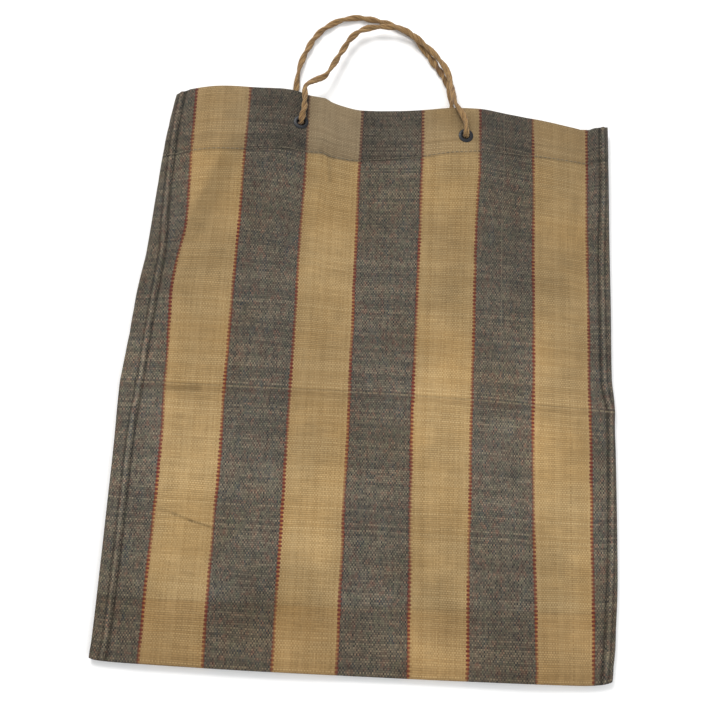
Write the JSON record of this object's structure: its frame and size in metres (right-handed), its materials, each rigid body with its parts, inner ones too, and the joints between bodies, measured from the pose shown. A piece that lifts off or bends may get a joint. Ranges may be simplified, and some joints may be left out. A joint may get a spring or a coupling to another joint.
{
  "type": "foldable tote bag",
  "caption": "Flat-folding striped cloth bag with tucked-in side and bottom gussets, a hemmed mouth, metal eyelets and knotted twisted-cord handles.",
  "frame": {"origin": "middle of the bag's outline, without its cord handles, on the surface that it lies on", "axes": "+X across the bag to the right seen from the front, +Y from the bottom edge to the mouth, +Z out of the front panel"},
  "size_m": [0.406, 0.5801, 0.0267],
  "materials": {
    "striped_cloth": "coarse plain weave, cream and blue-grey stripes with red border yarns",
    "seam_thread": "pale cotton thread",
    "eyelet_metal": "dark blue-grey enamel, worn",
    "twine": "twisted natural fibre"
  },
  "bodies": {
    "lower": {"front_panel_lower": "striped_cloth", "back_panel_lower": "striped_cloth", "left_gusset_lower": "striped_cloth", "right_gusset_lower": "striped_cloth", "bottom_gusset": "striped_cloth", "left_seam_thread_lower": "seam_thread", "right_seam_thread_lower": "seam_thread"},
    "upper": {"back_panel_upper": "striped_cloth", "left_gusset_back": "striped_cloth", "right_gusset_back": "striped_cloth", "back_hem_facing": "striped_cloth", "back_hem_thread": "seam_thread", "back_left_eyelet": "eyelet_metal", "back_right_eyelet": "eyelet_metal", "back_left_washer": "eyelet_metal", "back_right_washer": "eyelet_metal", "back_left_cord_end": "twine", "back_right_cord_end": "twine"},
    "front_upper": {"front_panel_upper": "striped_cloth", "left_gusset_front": "striped_cloth", "right_gusset_front": "striped_cloth", "front_hem_facing": "striped_cloth", "front_hem_thread": "seam_thread", "left_seam_thread_upper": "seam_thread", "right_seam_thread_upper": "seam_thread", "front_left_eyelet": "eyelet_metal", "front_right_eyelet": "eyelet_metal", "front_left_washer": "eyelet_metal", "front_right_washer": "eyelet_metal", "front_left_cord_end": "twine", "front_right_cord_end": "twine"},
    "front_handle": {"front_handle_cord": "twine"},
    "back_handle": {"back_handle_cord": "twine"}
  },
  "joints": [
    {"name": "fold", "type": "hinge", "parent": "lower", "child": "upper", "pos_m": [0, -0.019, 0.0088], "axis": [1, 0, 0], "range_deg": [0, 155]},
    {"name": "mouth_open", "type": "hinge", "parent": "upper", "child": "front_upper", "pos_m": [0, -0.019, 0.0088], "axis": [1, 0, 0], "range_deg": [0, 20]},
    {"name": "back_handle_swing", "type": "hinge", "parent": "upper", "child": "back_handle", "pos_m": [0, 0.245, 0.0026], "axis": [1, 0, 0], "range_deg": [0, 85]},
    {"name": "front_handle_swing", "type": "hinge", "parent": "front_upper", "child": "front_handle", "pos_m": [0, 0.216, 0.0236], "axis": [1, 0, 0], "range_deg": [0, 85]}
  ],
  "couplings": [
    {"joint": "front_handle_swing", "follows": "back_handle_swing", "ratio": 1}
  ]
}
